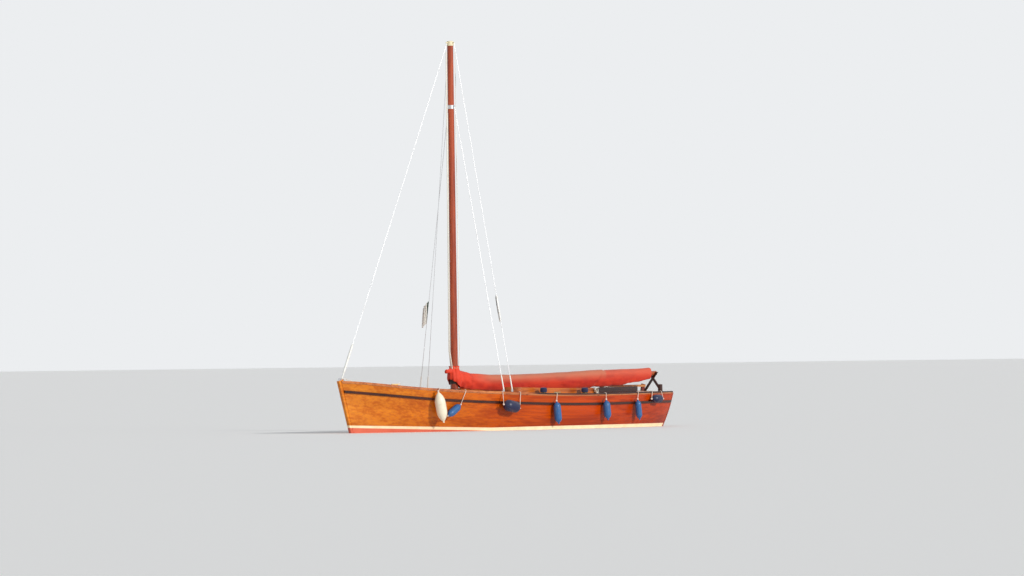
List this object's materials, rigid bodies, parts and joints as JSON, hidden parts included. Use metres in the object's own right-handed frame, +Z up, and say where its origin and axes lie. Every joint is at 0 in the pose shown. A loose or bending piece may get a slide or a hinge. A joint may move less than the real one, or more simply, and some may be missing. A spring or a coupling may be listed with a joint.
{
  "type": "half-decked wooden sailing boat",
  "caption": "One-masted, half-decked wooden sailing boat afloat, her sail stowed along the boom under a cover, with a long keel, transom-hung rudder and tiller.",
  "frame": {"origin": "on the waterline, amidships, on the centreline", "axes": "+X forward to the bow, +Y to port, +Z up from the water"},
  "size_m": [8.3219, 2.896, 8.4629],
  "materials": {
    "varnished_hull": "varnished mahogany planking",
    "dark_varnish": "dark varnished timber",
    "deck_wood": "varnished laid timber",
    "spar_varnish": "varnished spar timber",
    "rudder_wood": "varnished and painted timber",
    "pale_rail": "pale varnished rail",
    "antifouling": "matt brick red bottom paint",
    "ballast_iron": "painted iron",
    "steel": "satin",
    "stay_wire": "wire rope",
    "pale_fittings": "white sleeves",
    "bronze": "weathered bronze",
    "cap_paint": "cream paint",
    "cover_cloth": "red proofed cloth",
    "navy_cloth": "navy proofed cloth",
    "fender_vinyl": "inflated vinyl, blue and white"
  },
  "bodies": {
    "hull": {"hull": "varnished_hull", "deck": "deck_wood", "transom": "varnished_hull", "stem": "varnished_hull", "keel": "antifouling", "ballast_keel": "ballast_iron", "rubbing_strakes": "dark_varnish", "toe_rails": "pale_rail", "cockpit_sole": "deck_wood", "coaming": "dark_varnish", "cockpit_lining": "deck_wood", "benches": "deck_wood", "mast": "spar_varnish", "masthead_cap": "cap_paint", "hounds_band": "steel", "mast_partner": "dark_varnish", "gooseneck": "steel", "cover_collar": "cover_cloth", "boom_crutch": "dark_varnish", "forestay": "stay_wire", "shrouds": "stay_wire", "turnbuckles": "pale_fittings", "chainplates": "steel", "stemhead_fitting": "steel", "gudgeons": "bronze", "fenders": "fender_vinyl", "bench_supports": "deck_wood", "sheet_thwart": "deck_wood", "sheet_track": "bronze", "lower_sheet_block": "dark_varnish", "samson_post": "dark_varnish", "stern_bitts": "dark_varnish", "cleats": "bronze", "winches": "bronze", "winch_covers": "navy_cloth"},
    "boom": {"boom": "spar_varnish", "boom_eye": "steel", "sail_cover": "cover_cloth", "upper_sheet_block": "dark_varnish"},
    "rudder": {"rudder": "rudder_wood", "tiller": "spar_varnish", "pintles": "bronze"}
  },
  "joints": [
    {"name": "boom_lift", "type": "hinge", "parent": "hull", "child": "boom", "pos_m": [0.91, 0, 0.93], "axis": [0.1045, 0.9945, 0], "range_deg": [0, 30]},
    {"name": "rudder_turn", "type": "hinge", "parent": "hull", "child": "rudder", "pos_m": [-3.91554, 0, 0], "axis": [-0.2145, 0, 0.9767], "range_deg": [-35, 35]}
  ]
}
